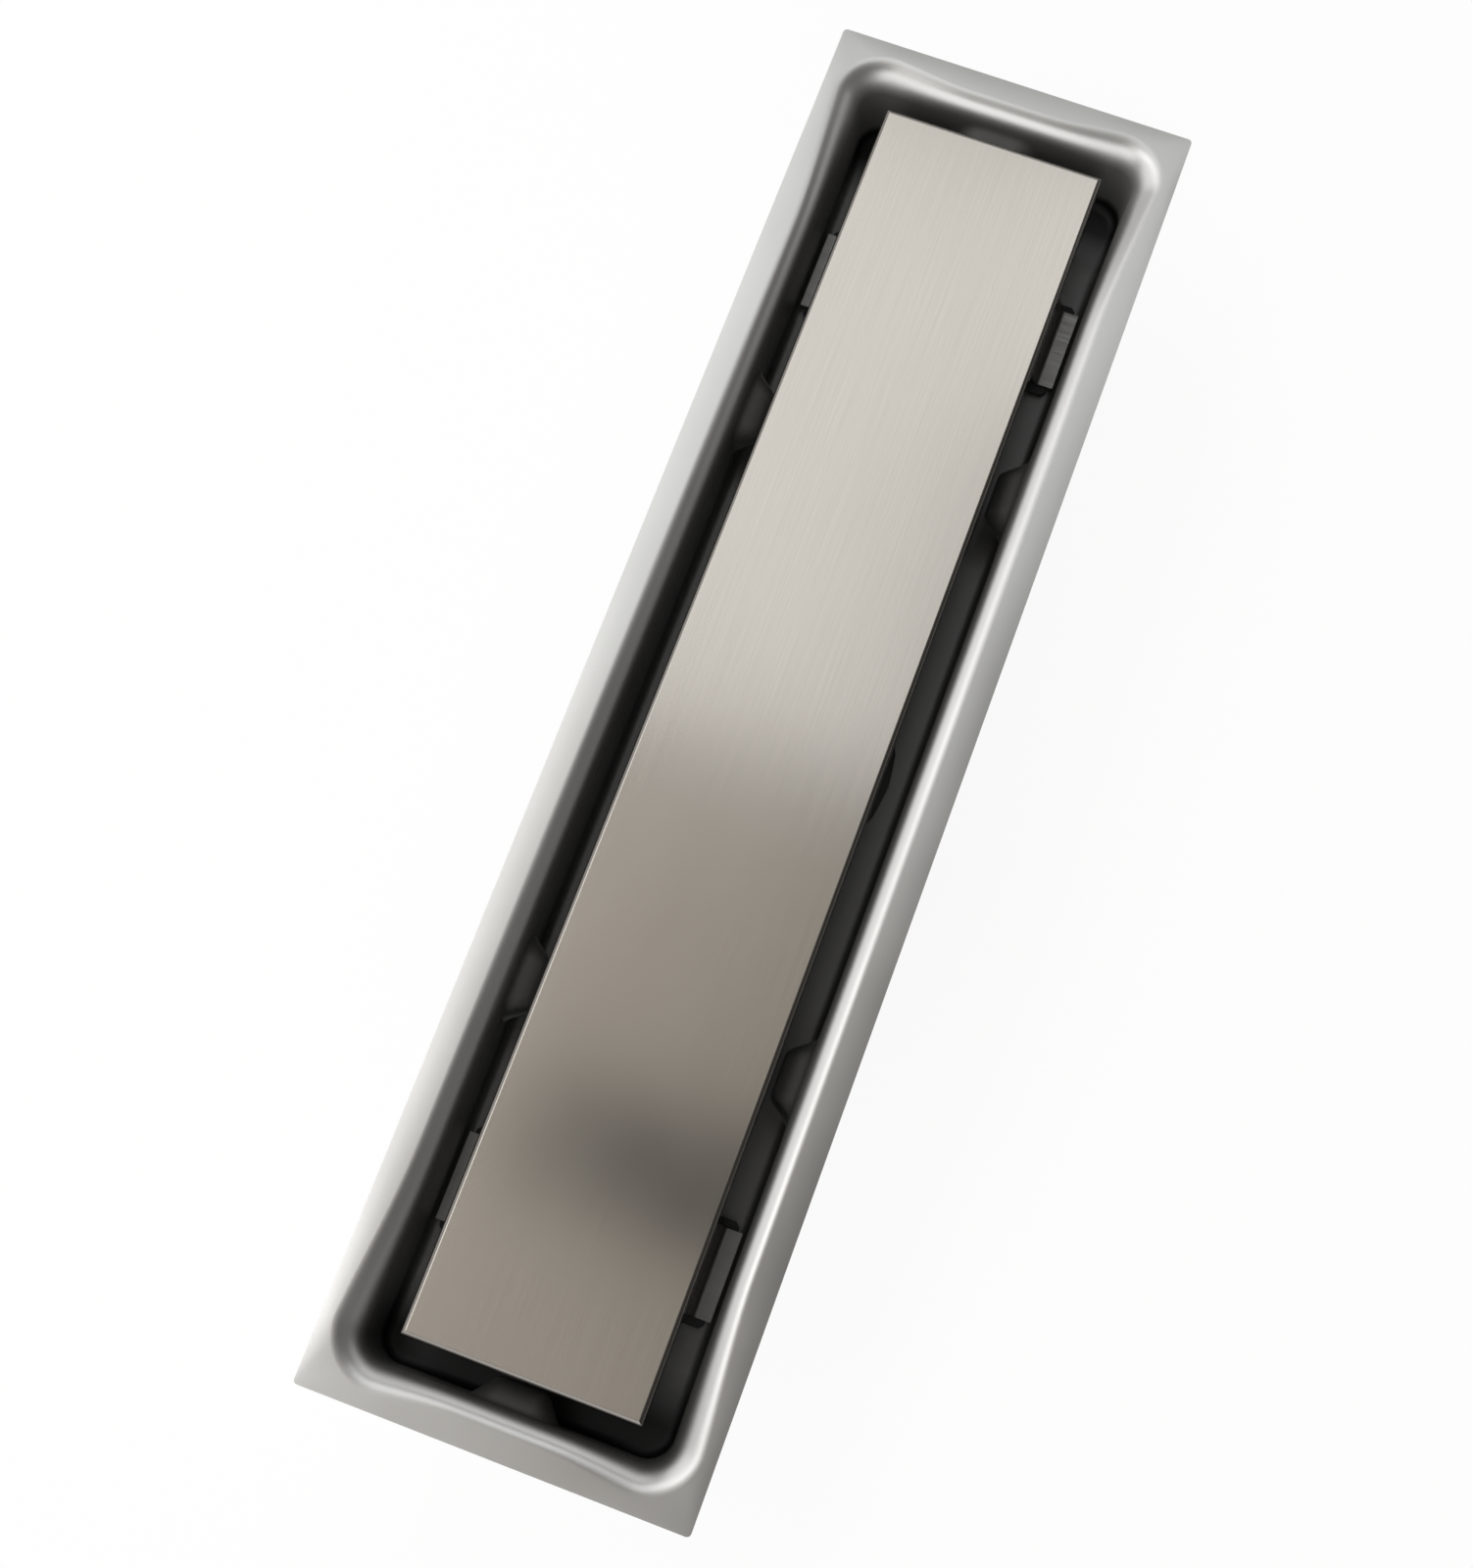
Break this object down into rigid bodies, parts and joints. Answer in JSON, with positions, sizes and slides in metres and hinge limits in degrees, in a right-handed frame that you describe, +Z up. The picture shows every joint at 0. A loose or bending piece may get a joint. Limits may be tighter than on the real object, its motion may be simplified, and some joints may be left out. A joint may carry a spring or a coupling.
{
  "type": "linear shower drain",
  "caption": "Linear shower drain: pressed steel tray with a wide flange and wall dimples, plain lift-out cover with a water gap all round, and a bell trap over a vertical outlet pipe.",
  "frame": {"origin": "middle of the plane on which the flange is bedded, straight above the outlet", "axes": "+Z up, out of the floor; +Y along the drain; +X across it"},
  "size_m": [0.13, 0.5, 0.1035],
  "materials": {
    "tray_steel": "pressed sheet, satin, fine lengthwise grain",
    "cover_steel": "lengthwise brushed",
    "bridge_steel": "mill finish strip",
    "trap_steel": "drawn and turned, satin",
    "pad_rubber": "matt moulded"
  },
  "bodies": {
    "root": {"channel_tray": "tray_steel", "cover_panel": "cover_steel", "far_support_bridge": "bridge_steel", "near_support_bridge": "bridge_steel", "trap_sump": "trap_steel", "sump_base": "trap_steel", "outlet_pipe": "trap_steel", "weir_tube": "trap_steel", "strainer_plate": "trap_steel", "trap_bell": "trap_steel", "lift_knob": "trap_steel", "bell_screw": "trap_steel", "far_left_foot_pad": "pad_rubber", "far_right_foot_pad": "pad_rubber", "near_left_foot_pad": "pad_rubber", "near_right_foot_pad": "pad_rubber"}
  },
  "joints": []
}
